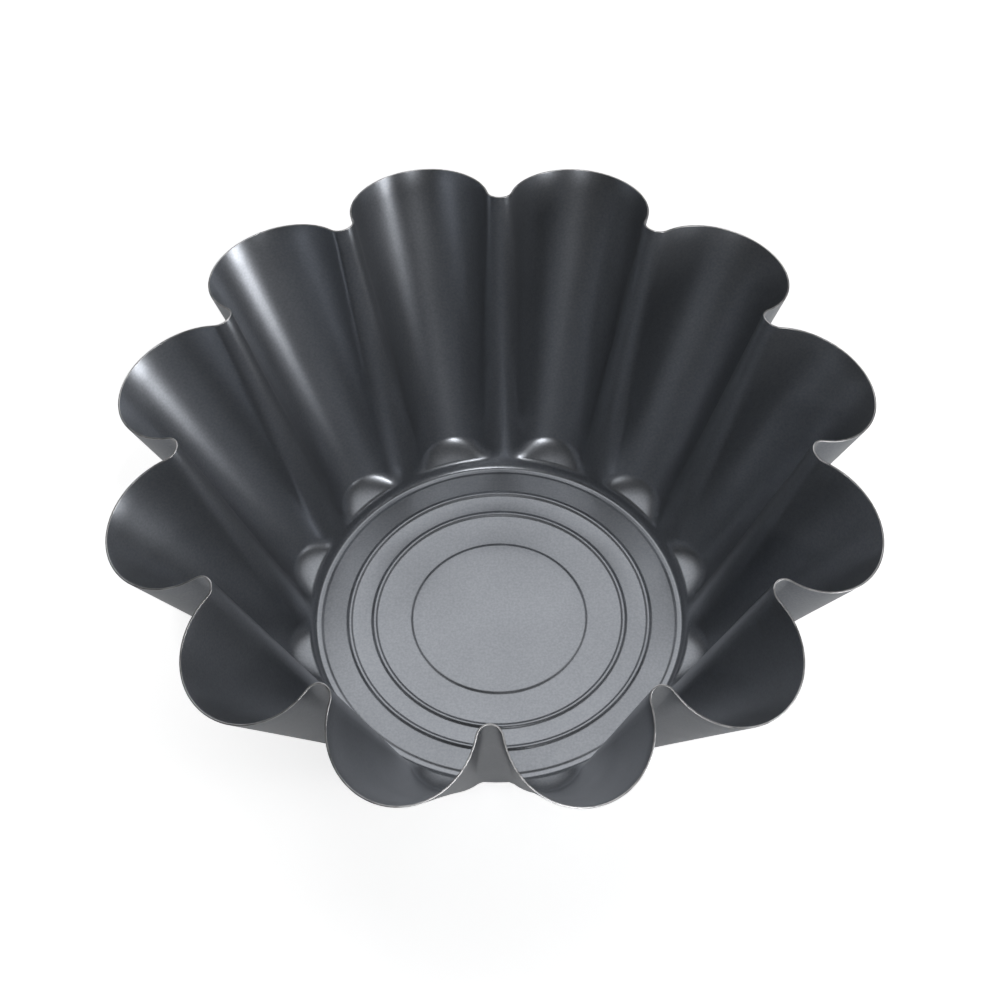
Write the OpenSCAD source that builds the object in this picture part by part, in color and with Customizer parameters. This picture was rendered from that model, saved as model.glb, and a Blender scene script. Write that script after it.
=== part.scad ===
// Fluted brioche mould, pressed from one sheet of coated steel.
// Millimetres. +Z is up, and the origin is the centre of the circle it stands on.

/* [Sheet] */
// Thickness of the sheet in the floor
sheet_t = 0.6; // [0.4:0.05:1.2]
// Thickness of the drawn wall
wall_t = 0.55; // [0.4:0.05:1]

/* [Rim] */
// Diameter inside the lobes at the rim
lobe_d = 219; // [200:1:240]
// Diameter inside the creases at the rim
crease_d = 175; // [160:1:186]
// Height of the rim at a crease
crease_rim_h = 91.5; // [75:0.5:110]
// Height of the rim at the middle of a lobe
lobe_rim_h = 80.7; // [65:0.1:100]
// Radius of a crease at the rim
crease_r = 3.9; // [2.5:0.1:6]

/* [Flutes] */
// Number of lobes, with a crease between each two
lobe_count = 12; // [10:1:14]
// Diameter where the lobes would meet the floor without their rounded toes
toe_d = 119; // [114:0.5:124]
// Diameter where the creases would meet the floor without their bend
crease_foot_d = 109.8; // [109.2:0.1:112]
// Height of the plain band that turns up from the floor, before the toes begin
band_h = 2.8; // [2:0.1:5]
// Length along the wall in which a toe curves into it
toe_climb = 2.2; // [1.5:0.1:5]
// Radius of a crease at the floor
crease_foot_r = 12; // [8:0.5:14]

/* [Floor] */
// Diameter of the circle where the floor turns up into the wall
floor_d = 107.8; // [104:0.1:108.4]
// Width of the flat ring that the mould stands on
stand_w = 1; // [0.6:0.1:1.6]
// Width of the small ramp beside the standing ring
ramp_w = 0.7; // [0.4:0.1:1.4]
// Rise of the small ramp
ramp_h = 0.25; // [0.1:0.05:0.5]
// Height of the floor's plateau above the standing ring
plateau_h = 0.9; // [0.5:0.05:1.6]

/* [Rings pressed into the floor] */
// Diameter along the top of the outer ring
outer_ring_d = 88.8; // [86:0.1:92]
// Diameter along the top of the middle ring
middle_ring_d = 74.1; // [70:0.1:78]
// Width of a raised ring
ring_w = 2.4; // [1.6:0.1:3.6]
// Height of a raised ring above the plateau
ring_h = 0.45; // [0.2:0.05:0.8]
// Diameter of the low step round the middle of the floor
centre_d = 51.8; // [40:0.1:60]
// Width of that step's slope
centre_slope_w = 1.2; // [0.6:0.1:2.4]
// Rise of that step
centre_h = 0.35; // [0.15:0.05:0.6]

/* [Hidden] */
$fn = 96;

floor_r = floor_d / 2;
half_pitch = 180 / lobe_count;
lobe_steps = 8;
crease_steps = 3;
half_steps = lobe_steps + crease_steps;
band_steps = 3;
toe_steps = 4;
wall_steps = 2;
ring_steps = 8;
centre_steps = 4;
// The wall's lower edge runs into the floor's edge, so that the two are one solid
weld_run = 0.8;
weld_inset = 0.1;
weld_lap = 0.1;
// Step along the surface for its slopes, as a share of one column or row
slope_step = 0.001;
coating_colour = [0.25, 0.26, 0.28];

function unit(v) = v / norm(v);

// Outline of the flutes at one level: a lobe's arc, tangent to the arc of a crease.
// It returns [lobe centre, lobe radius, angle where the arcs meet, crease centre distance, crease radius].
function flute_arcs(lobe_rad, crease_rad, fillet) =
    let(
        away = crease_rad + fillet,
        cx = away * cos(half_pitch),
        cy = away * sin(half_pitch),
        short = lobe_rad - cx,
        arc_r = (short * short + cy * cy - fillet * fillet) / (2 * (short + fillet)),
        centre = lobe_rad - arc_r
    )
    [centre, arc_r, atan2(cy, cx - centre), away, fillet];

rim_arcs = flute_arcs(lobe_d / 2, crease_d / 2, crease_r);
foot_arcs = flute_arcs(toe_d / 2, crease_foot_d / 2, crease_foot_r);

// Point of an outline half a flute long, from the lobe's middle at s = 0 to the crease's middle
function half_outline(arcs, s) =
    s <= lobe_steps
        ? let(a = arcs[2] * s / lobe_steps) [arcs[0] + arcs[1] * cos(a), arcs[1] * sin(a)]
        : let(
            share = (s - lobe_steps) / crease_steps,
            a = 180 + arcs[2] + (half_pitch - arcs[2]) * share
        )
        [
            arcs[3] * cos(half_pitch) + arcs[4] * cos(a),
            arcs[3] * sin(half_pitch) + arcs[4] * sin(a)
        ];

// Point of the whole outline, where u counts columns round the mould
function outline(arcs, u) =
    let(
        flute = floor((u + half_steps) / (2 * half_steps)),
        s = u - flute * 2 * half_steps,
        p = half_outline(arcs, abs(s)),
        q = [p.x, s < 0 ? -p.y : p.y],
        a = half_pitch * (2 * flute + 1)
    )
    [q.x * cos(a) - q.y * sin(a), q.x * sin(a) + q.y * cos(a)];

// The rim is highest at the creases and drops evenly with the distance from the axis
function rim_height(r) =
    crease_rim_h - (crease_rim_h - lobe_rim_h) * (r - crease_d / 2) / ((lobe_d - crease_d) / 2);

// Point of a curve that leaves a towards b and arrives at c from b
function curve(a, b, c, s) = (1 - s) * (1 - s) * a + 2 * s * (1 - s) * b + s * s * c;

seat = sheet_t - weld_inset;
crease_lean = (crease_d - crease_foot_d) / 2 / (crease_rim_h - seat);
lip_r = crease_foot_d / 2 + crease_lean * band_h;
band_end = 1 + band_steps;
toe_end = band_end + toe_steps;
rows = toe_end + wall_steps;

// Inner face of the wall, where v counts rows: the tongue inside the floor's edge,
// the plain band that turns up from the floor, the toe's curve, and the straight wall
function inner(u, v) =
    let(
        top = outline(rim_arcs, u),
        foot = outline(foot_arcs, u),
        out = unit(foot),
        rim_point = [top.x, top.y, rim_height(norm(top))],
        up = unit(rim_point - [foot.x, foot.y, seat]),
        start = [out.x * floor_r, out.y * floor_r, seat],
        knee = [out.x * crease_foot_d / 2, out.y * crease_foot_d / 2, seat],
        lip = [out.x * lip_r, out.y * lip_r, seat + band_h],
        level = [foot.x, foot.y, seat] + up * band_h / up.z,
        wall_start = level + 2 * toe_climb * up
    )
    v <= 1
        ? start - (1 - v) * weld_run * [out.x, out.y, 0]
        : v <= band_end
            ? curve(start, knee, lip, (v - 1) / band_steps)
            : v <= toe_end
                ? curve(lip, level + toe_climb * up, wall_start, (v - band_end) / toe_steps)
                : wall_start + (rim_point - wall_start) * (v - toe_end) / wall_steps;

columns = 2 * half_steps * lobe_count;

// Direction square to the sheet, away from the inside
function outward(u, v) =
    let(
        low = max(v - slope_step, 0),
        high = min(v + slope_step, rows)
    )
    unit(cross(inner(u + slope_step, v) - inner(u - slope_step, v), inner(u, high) - inner(u, low)));

// The wall leaves the floor a little thinner than the floor, and has its own thickness one row higher
neck_t = sheet_t - 2 * weld_inset;
function thickness(v) = neck_t + (wall_t - neck_t) * min(max(v - 1, 0), 1);
function outer(u, v) = inner(u, v) + thickness(v) * outward(u, v);

// The fluted wall is one closed skin: inner face, outer face, cut rim and the edge inside the floor
module fluted_wall() {
    inside = [for (v = [0:rows]) for (u = [0:columns - 1]) inner(u, v)];
    outside = [for (v = [0:rows]) for (u = [0:columns - 1]) outer(u, v)];
    skin = len(inside);
    function at(u, v) = v * columns + u % columns;
    polyhedron(
        points = concat(inside, outside),
        faces = [
            for (v = [0:rows - 1]) for (u = [0:columns - 1]) each [
                [at(u, v), at(u + 1, v), at(u + 1, v + 1)],
                [at(u, v), at(u + 1, v + 1), at(u, v + 1)],
                [skin + at(u, v), skin + at(u + 1, v + 1), skin + at(u + 1, v)],
                [skin + at(u, v), skin + at(u, v + 1), skin + at(u + 1, v + 1)]
            ],
            for (u = [0:columns - 1]) each [
                [at(u, rows), at(u + 1, rows), skin + at(u + 1, rows)],
                [at(u, rows), skin + at(u + 1, rows), skin + at(u, rows)],
                [at(u, 0), skin + at(u + 1, 0), at(u + 1, 0)],
                [at(u, 0), skin + at(u, 0), skin + at(u + 1, 0)]
            ]
        ],
        convexity = 8
    );
}

// Smooth rise from 0 to 1 as s goes from 0 to 1
function ease(s) = (1 - cos(180 * s)) / 2;

// A raised ring in section, from its outer side to its inner side
function ring_section(ring_d) = [
    for (i = [0:ring_steps])
        let(s = i / ring_steps)
        [ring_d / 2 + ring_w * (0.5 - s), plateau_h + ring_h * (1 - cos(360 * s)) / 2]
];

// The underside of the floor in section, from the wall to the axis: [radius, height]
floor_section = concat(
    [[floor_r + weld_lap, 0], [floor_r - stand_w, 0], [floor_r - stand_w - ramp_w, ramp_h]],
    ring_section(outer_ring_d),
    ring_section(middle_ring_d),
    [
        for (i = [0:centre_steps])
            let(s = i / centre_steps)
            [centre_d / 2 + centre_slope_w * (0.5 - s), plateau_h + centre_h * ease(s)]
    ],
    [[0, plateau_h + centre_h]]
);

function raised(section, h) = [for (p = section) [p.x, p.y + h]];
function reversed(section) = [for (i = [len(section) - 1:-1:0]) section[i]];

module floor_plate() {
    rotate_extrude()
        polygon(concat(reversed(floor_section), raised(floor_section, sheet_t)));
}

module mould_shell() {
    color(coating_colour)
        union() {
            floor_plate();
            fluted_wall();
        }
}

mould_shell();
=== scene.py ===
import math

import bpy
import numpy as np
from mathutils import Matrix, Vector


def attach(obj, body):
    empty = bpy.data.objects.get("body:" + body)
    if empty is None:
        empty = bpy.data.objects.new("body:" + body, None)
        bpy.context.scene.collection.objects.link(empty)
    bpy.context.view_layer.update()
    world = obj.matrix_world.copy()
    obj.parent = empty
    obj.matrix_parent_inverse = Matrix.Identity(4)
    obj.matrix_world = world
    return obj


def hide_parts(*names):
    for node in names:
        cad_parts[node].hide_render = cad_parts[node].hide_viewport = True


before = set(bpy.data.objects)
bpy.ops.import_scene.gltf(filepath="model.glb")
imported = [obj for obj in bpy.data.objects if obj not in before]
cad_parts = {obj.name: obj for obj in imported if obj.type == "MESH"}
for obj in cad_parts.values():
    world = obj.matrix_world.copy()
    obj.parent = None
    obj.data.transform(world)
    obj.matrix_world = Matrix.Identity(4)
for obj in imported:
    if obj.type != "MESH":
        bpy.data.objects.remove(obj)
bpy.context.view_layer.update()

MM = 0.001

# Sheet
SHEET_T = 0.6 * MM
DRAW_THINNING = 0.05 * MM
WALL_T = SHEET_T - DRAW_THINNING
EDGE_ROUND = 0.16 * MM

# Flutes, with the sizes of the construction
LOBES = 12
HALF_PITCH = math.pi / LOBES
LOBE_R = 109.5 * MM
CREASE_R = 87.5 * MM
CREASE_RIM_H = 91.5 * MM
LOBE_RIM_H = 80.7 * MM
CREASE_FILLET = 3.9 * MM
TOE_R = 59.5 * MM
CREASE_FOOT_R = 54.9 * MM
CREASE_FOOT_FILLET = 12 * MM
BAND_H = 2.8 * MM
TOE_CLIMB = 2.2 * MM

# Floor
FLOOR_R = 53.9 * MM
STAND_W = 1.0 * MM
RAMP_W = 0.7 * MM
RAMP_H = 0.25 * MM
PLATEAU_H = 0.9 * MM
OUTER_RING_R = 44.4 * MM
MIDDLE_RING_R = 37.05 * MM
RING_W = 2.4 * MM
RING_H = 0.45 * MM
CENTRE_R = 25.9 * MM
CENTRE_SLOPE_W = 1.2 * MM
CENTRE_H = 0.35 * MM

# Rows of the floor where it is plain: near the middle, and between the rings
PLAIN_FLOOR_R = [4 * MM, 10 * MM, 17 * MM, 22 * MM]
BETWEEN_RINGS_R = 31 * MM
OUTSIDE_RINGS_R = 49 * MM
ROW_BESIDE_BEND = 0.2 * MM
ROW_BESIDE_WALL = 0.3 * MM

# How finely the mesh is drawn
LOBE_STEPS = 18
CREASE_STEPS = 6
BAND_STEPS = 7
TOE_STEPS = 12
WALL_STEPS = 14
RING_STEPS = 12
CENTRE_STEPS = 6
FILLET_STEPS = 4
SLOPE_STEP = 1e-3

# The photograph's view: where the camera looks, from how far, and how long its lens is
LOOK_AT = Vector((1.7, -17.6, 91.5)) * MM
VIEW_ELEVATION = math.radians(56.42)
VIEW_AZIMUTH = math.radians(1.97)
VIEW_ROLL = math.radians(-1.41)
VIEW_DISTANCE = 924.3 * MM
SENSOR_MM = 36.0
FOCAL_LENGTH_IN_WIDTHS = 3.392

# Studio. The floor and the surroundings are lighter to the camera than to the mould
STUDIO_FLOOR_W = 6.0
FLOOR_GREY = 0.8
FLOOR_GLOW_TO_CAMERA = 0.64
WORLD_TO_CAMERA = 1.0
WORLD_TO_MOULD = 0.85


def flute_arcs(lobe, crease, fillet):
    """A lobe's arc, tangent to the arc of a crease.

    Returns the lobe's centre and radius, the angle where the arcs meet, and the crease's centre and radius.
    """
    away = crease + fillet
    cx, cy = away * math.cos(HALF_PITCH), away * math.sin(HALF_PITCH)
    short = lobe - cx
    radius = (short**2 + cy**2 - fillet**2) / (2 * (short + fillet))
    centre = lobe - radius
    return centre, radius, math.atan2(cy, cx - centre), (cx, cy), fillet


RIM = flute_arcs(LOBE_R, CREASE_R, CREASE_FILLET)
FOOT = flute_arcs(TOE_R, CREASE_FOOT_R, CREASE_FOOT_FILLET)
HALF_STEPS = LOBE_STEPS + CREASE_STEPS
COLUMNS = 2 * HALF_STEPS * LOBES
BAND_END = BAND_STEPS
TOE_END = BAND_END + TOE_STEPS
WALL_END = TOE_END + WALL_STEPS
CREASE_LEAN = (CREASE_R - CREASE_FOOT_R) / (CREASE_RIM_H - SHEET_T)
LIP_R = CREASE_FOOT_R + CREASE_LEAN * BAND_H


def outline(arcs, u):
    """Points of a fluted outline, where u counts columns round the mould."""
    centre, radius, meet, (cx, cy), fillet = arcs
    flute = np.floor((u + HALF_STEPS) / (2 * HALF_STEPS))
    s = u - flute * 2 * HALF_STEPS
    side = np.where(s < 0, -1.0, 1.0)
    s = np.abs(s)
    a = meet * np.minimum(s, LOBE_STEPS) / LOBE_STEPS
    share = np.clip((s - LOBE_STEPS) / CREASE_STEPS, 0, 1)
    b = math.pi + meet + (HALF_PITCH - meet) * share
    in_lobe = s <= LOBE_STEPS
    x = np.where(in_lobe, centre + radius * np.cos(a), cx + fillet * np.cos(b))
    y = side * np.where(in_lobe, radius * np.sin(a), cy + fillet * np.sin(b))
    turn = HALF_PITCH * (2 * flute + 1)
    return np.stack([x * np.cos(turn) - y * np.sin(turn), x * np.sin(turn) + y * np.cos(turn)], 1)


def unit(v):
    return v / np.linalg.norm(v, axis=1, keepdims=True)


def with_height(xy, z):
    return np.column_stack([xy, np.broadcast_to(z, len(xy))])


def curve(a, b, c, s):
    """Point of a curve that leaves a towards b and arrives at c from b."""
    return (1 - s)**2 * a + 2 * s * (1 - s) * b + s**2 * c


def inner_face(u, v):
    """One row of the wall's inner face: v runs over the plain band, the toe's curve and the straight wall."""
    top, foot = outline(RIM, u), outline(FOOT, u)
    share = (np.linalg.norm(top, axis=1) - CREASE_R) / (LOBE_R - CREASE_R)
    rim = with_height(top, CREASE_RIM_H - (CREASE_RIM_H - LOBE_RIM_H) * share)
    outward = unit(foot)
    up = unit(rim - with_height(foot, SHEET_T))
    lip = with_height(outward * LIP_R, SHEET_T + BAND_H)
    if v <= BAND_END:
        start = with_height(outward * FLOOR_R, SHEET_T)
        knee = with_height(outward * CREASE_FOOT_R, SHEET_T)
        return curve(start, knee, lip, v / BAND_STEPS)
    level = with_height(foot, SHEET_T) + up * BAND_H / up[:, 2:]
    wall_start = level + 2 * TOE_CLIMB * up
    if v <= TOE_END:
        return curve(lip, level + TOE_CLIMB * up, wall_start, (v - BAND_END) / TOE_STEPS)
    return wall_start + (rim - wall_start) * (v - TOE_END) / WALL_STEPS


def square_to_wall(u, v):
    """Direction square to the sheet, away from the inside, and the direction up the wall."""
    low, high = max(v - SLOPE_STEP, 0), min(v + SLOPE_STEP, WALL_END)
    along = inner_face(u + SLOPE_STEP, v) - inner_face(u - SLOPE_STEP, v)
    up = inner_face(u, high) - inner_face(u, low)
    return unit(np.cross(along, up)), unit(up)


def ring_rise(r, ring_r):
    """Height that a raised ring adds at radius r."""
    share = np.clip(abs(r - ring_r) / (RING_W / 2), 0, 1)
    return RING_H * (1 + math.cos(math.pi * share)) / 2


def floor_height(r):
    """Height of the floor's underside above the standing ring."""
    ramp_out = FLOOR_R - STAND_W
    ramp_in = ramp_out - RAMP_W
    plateau_r = OUTER_RING_R + RING_W / 2
    ramp = RAMP_H * np.clip((ramp_out - r) / RAMP_W, 0, 1)
    cone = (PLATEAU_H - RAMP_H) * np.clip((ramp_in - r) / (ramp_in - plateau_r), 0, 1)
    share = np.clip((CENTRE_R + CENTRE_SLOPE_W / 2 - r) / CENTRE_SLOPE_W, 0, 1)
    middle = CENTRE_H * (1 - math.cos(math.pi * share)) / 2
    return ramp + cone + ring_rise(r, OUTER_RING_R) + ring_rise(r, MIDDLE_RING_R) + middle


def floor_radii():
    """Radii of the floor's rows, from near the axis to the foot of the wall."""
    ramp_out = FLOOR_R - STAND_W
    ramp_in = ramp_out - RAMP_W
    radii = list(PLAIN_FLOOR_R)
    radii += list(np.linspace(CENTRE_R - CENTRE_SLOPE_W / 2, CENTRE_R + CENTRE_SLOPE_W / 2, CENTRE_STEPS + 1))
    radii += [BETWEEN_RINGS_R]
    radii += list(np.linspace(MIDDLE_RING_R - RING_W / 2, MIDDLE_RING_R + RING_W / 2, RING_STEPS + 1))
    radii += [(MIDDLE_RING_R + OUTER_RING_R) / 2]
    radii += list(np.linspace(OUTER_RING_R - RING_W / 2, OUTER_RING_R + RING_W / 2, RING_STEPS + 1))
    radii += [OUTSIDE_RINGS_R, ramp_in - ROW_BESIDE_BEND, ramp_in, (ramp_in + ramp_out) / 2]
    return radii + [ramp_out, ramp_out + ROW_BESIDE_BEND, FLOOR_R - ROW_BESIDE_WALL]


def shell_rows():
    """Every row of the mould's skin: up the inside to the rim, over its cut edge, and back underneath.

    Also returns the first row of the cut edge and its last.
    """
    u = np.arange(COLUMNS, dtype=float)
    radial = with_height(unit(outline(FOOT, u)), 0.0)
    lift = np.array([0, 0, 1.0])
    floor_inside = [radial * r + lift * (floor_height(r) + SHEET_T) for r in floor_radii()]
    floor_under = [radial * r + lift * floor_height(r) for r in floor_radii()]
    wall_inside, wall_outside = [], []
    for v in range(WALL_END):
        face = inner_face(u, v)
        wall_inside.append(face)
        wall_outside.append(face + WALL_T * square_to_wall(u, v)[0])
    rim = inner_face(u, WALL_END)
    across, up = square_to_wall(u, WALL_END)
    edge = []
    for i in range(FILLET_STEPS + 1):
        a = math.pi / 2 * i / FILLET_STEPS
        edge.append(rim + across * EDGE_ROUND * (1 - math.cos(a)) - up * EDGE_ROUND * (1 - math.sin(a)))
    for i in range(FILLET_STEPS + 1):
        a = math.pi / 2 * (1 - i / FILLET_STEPS)
        width = WALL_T - EDGE_ROUND * (1 - math.cos(a))
        edge.append(rim + across * width - up * EDGE_ROUND * (1 - math.sin(a)))
    rows = floor_inside + wall_inside + edge + wall_outside[::-1] + floor_under[::-1]
    edge_start = len(floor_inside) + len(wall_inside)
    return rows, edge_start, edge_start + len(edge) - 1


def build_shell(coating, bare_edge):
    rows, edge_start, edge_end = shell_rows()
    top = [0, 0, floor_height(0) + SHEET_T]
    under = [0, 0, floor_height(0)]
    points = np.concatenate(rows + [np.array([top, under])])
    centre_top, centre_under = len(points) - 2, len(points) - 1
    faces = []
    for row in range(len(rows) - 1):
        for column in range(COLUMNS):
            beside = (column + 1) % COLUMNS
            low, high = row * COLUMNS, (row + 1) * COLUMNS
            faces.append((low + column, low + beside, high + beside, high + column))
    bottom = (len(rows) - 1) * COLUMNS
    for column in range(COLUMNS):
        beside = (column + 1) % COLUMNS
        faces.append((centre_top, beside, column))
        faces.append((centre_under, bottom + column, bottom + beside))
    mesh = bpy.data.meshes.new("fluted_shell")
    mesh.from_pydata(points.tolist(), [], faces)
    mesh.materials.append(coating)
    mesh.materials.append(bare_edge)
    for polygon in mesh.polygons:
        row = polygon.index // COLUMNS
        polygon.use_smooth = True
        polygon.material_index = 1 if edge_start <= row < edge_end else 0
    shell = bpy.data.objects.new("fluted_shell", mesh)
    bpy.context.collection.objects.link(shell)
    return shell


def new_material(name):
    material = bpy.data.materials.new(name)
    material.use_nodes = True
    tree = material.node_tree
    shader = tree.nodes["Principled BSDF"]
    return material, tree, shader


def add_noise(tree, scale, detail):
    """Noise that keeps its size on the object, in object coordinates."""
    place = tree.nodes.new("ShaderNodeTexCoord")
    noise = tree.nodes.new("ShaderNodeTexNoise")
    noise.inputs["Scale"].default_value = scale
    noise.inputs["Detail"].default_value = detail
    tree.links.new(place.outputs["Object"], noise.inputs["Vector"])
    return noise.outputs["Fac"]


def add_ramp(tree, source, stops):
    """A colour ramp: stops are (place, grey or colour)."""
    ramp = tree.nodes.new("ShaderNodeValToRGB")
    while len(ramp.color_ramp.elements) < len(stops):
        ramp.color_ramp.elements.new(0.5)
    for element, (place, colour) in zip(ramp.color_ramp.elements, stops):
        element.position = place
        element.color = (*colour, 1) if isinstance(colour, tuple) else (colour, colour, colour, 1)
    tree.links.new(source, ramp.inputs["Fac"])
    return ramp.outputs["Color"]


def coating_material():
    """Satin anthracite coating with a fine speckle and the slight orange peel of a sprayed film."""
    material, tree, shader = new_material("coating")
    shader.inputs["Metallic"].default_value = 0.85
    speckle = add_noise(tree, 1500, 2)
    colour = add_ramp(tree, speckle, [(0.3, (0.232, 0.244, 0.266)), (0.7, (0.28, 0.293, 0.316))])
    tree.links.new(colour, shader.inputs["Base Color"])
    cloud = add_noise(tree, 35, 3)
    roughness = add_ramp(tree, cloud, [(0.3, 0.3), (0.7, 0.37)])
    tree.links.new(roughness, shader.inputs["Roughness"])
    bump = tree.nodes.new("ShaderNodeBump")
    bump.inputs["Strength"].default_value = 0.15
    bump.inputs["Distance"].default_value = 0.05 * MM
    tree.links.new(add_noise(tree, 900, 3), bump.inputs["Height"])
    tree.links.new(bump.outputs["Normal"], shader.inputs["Normal"])
    return material


def bare_edge_material():
    """The cut edge of the sheet, where the coating is thin and the steel catches the light."""
    material, tree, shader = new_material("bare_edge")
    shader.inputs["Metallic"].default_value = 1.0
    wear = add_noise(tree, 400, 3)
    colour = add_ramp(tree, wear, [(0.3, (0.4, 0.4, 0.41)), (0.7, (0.62, 0.62, 0.62))])
    tree.links.new(colour, shader.inputs["Base Color"])
    roughness = add_ramp(tree, wear, [(0.3, 0.3), (0.7, 0.42)])
    tree.links.new(roughness, shader.inputs["Roughness"])
    return material


def build_floor():
    """A white studio floor that shows as white to the camera and keeps the object's shadow."""
    half = STUDIO_FLOOR_W / 2
    corners = [(-half, -half, 0), (half, -half, 0), (half, half, 0), (-half, half, 0)]
    mesh = bpy.data.meshes.new("studio_floor")
    mesh.from_pydata(corners, [], [(0, 1, 2, 3)])
    floor = bpy.data.objects.new("studio_floor", mesh)
    bpy.context.collection.objects.link(floor)
    material = bpy.data.materials.new("studio_floor")
    material.use_nodes = True
    tree = material.node_tree
    tree.nodes.clear()
    output = tree.nodes.new("ShaderNodeOutputMaterial")
    matt = tree.nodes.new("ShaderNodeBsdfDiffuse")
    matt.inputs["Color"].default_value = (FLOOR_GREY, FLOOR_GREY, FLOOR_GREY, 1)
    glow = tree.nodes.new("ShaderNodeEmission")
    path = tree.nodes.new("ShaderNodeLightPath")
    level = tree.nodes.new("ShaderNodeMath")
    level.operation = "MULTIPLY"
    level.inputs[1].default_value = FLOOR_GLOW_TO_CAMERA
    both = tree.nodes.new("ShaderNodeAddShader")
    tree.links.new(path.outputs["Is Camera Ray"], level.inputs[0])
    tree.links.new(level.outputs[0], glow.inputs["Strength"])
    tree.links.new(matt.outputs[0], both.inputs[0])
    tree.links.new(glow.outputs[0], both.inputs[1])
    tree.links.new(both.outputs[0], output.inputs["Surface"])
    mesh.materials.append(material)


def build_world():
    """Dim grey surroundings that show as white to the camera."""
    world = bpy.data.worlds.new("studio")
    bpy.context.scene.world = world
    world.use_nodes = True
    tree = world.node_tree
    background = tree.nodes["Background"]
    path = tree.nodes.new("ShaderNodeLightPath")
    level = tree.nodes.new("ShaderNodeMapRange")
    level.inputs["To Min"].default_value = WORLD_TO_MOULD
    level.inputs["To Max"].default_value = WORLD_TO_CAMERA
    tree.links.new(path.outputs["Is Camera Ray"], level.inputs["Value"])
    tree.links.new(level.outputs["Result"], background.inputs["Strength"])


def add_softbox(name, direction, distance, width, height, radiance):
    """A soft area light that faces the mould. Its radiance is what a mirror would show."""
    light = bpy.data.lights.new(name, "AREA")
    light.shape = "RECTANGLE"
    light.size = width
    light.size_y = height
    light.energy = radiance * math.pi * width * height
    lamp = bpy.data.objects.new(name, light)
    aim = Vector((0, 0, 40 * MM))
    place = aim + Vector(direction).normalized() * distance
    lamp.matrix_world = Matrix.Translation(place) @ (place - aim).to_track_quat("Z", "Y").to_matrix().to_4x4()
    bpy.context.collection.objects.link(lamp)


def build_lights():
    """The studio's lights, each with its direction from the mould, distance, width, height and radiance."""
    add_softbox("overhead_back", (0.0, 0.55, 0.83), 1.6, 2.3, 1.7, 1.5)
    add_softbox("right_side", (0.92, -0.35, 0.22), 1.4, 0.45, 0.8, 9.0)
    add_softbox("front_spot", (0.14, -0.75, 0.65), 1.3, 0.09, 0.09, 130.0)
    add_softbox("toe_spot", (0.06, -0.62, 0.78), 1.5, 0.05, 0.05, 260.0)


def build_camera():
    back = Vector((
        math.sin(VIEW_AZIMUTH) * math.cos(VIEW_ELEVATION),
        -math.cos(VIEW_AZIMUTH) * math.cos(VIEW_ELEVATION),
        math.sin(VIEW_ELEVATION),
    ))
    level_right = Vector((0, 0, 1)).cross(back).normalized()
    level_up = back.cross(level_right)
    right = math.cos(VIEW_ROLL) * level_right + math.sin(VIEW_ROLL) * level_up
    up = back.cross(right)
    data = bpy.data.cameras.new("camera")
    data.sensor_width = SENSOR_MM
    data.lens = FOCAL_LENGTH_IN_WIDTHS * SENSOR_MM
    data.clip_start = 0.05
    camera = bpy.data.objects.new("camera", data)
    turned = Matrix((right, up, back)).transposed().to_4x4()
    camera.matrix_world = Matrix.Translation(LOOK_AT + back * VIEW_DISTANCE) @ turned
    bpy.context.collection.objects.link(camera)
    bpy.context.scene.camera = camera


build_camera()
build_world()
build_lights()
build_floor()
shell = build_shell(coating_material(), bare_edge_material())
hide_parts("mould_shell")
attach(shell, "root")

bpy.context.scene.view_settings.view_transform = "Standard"
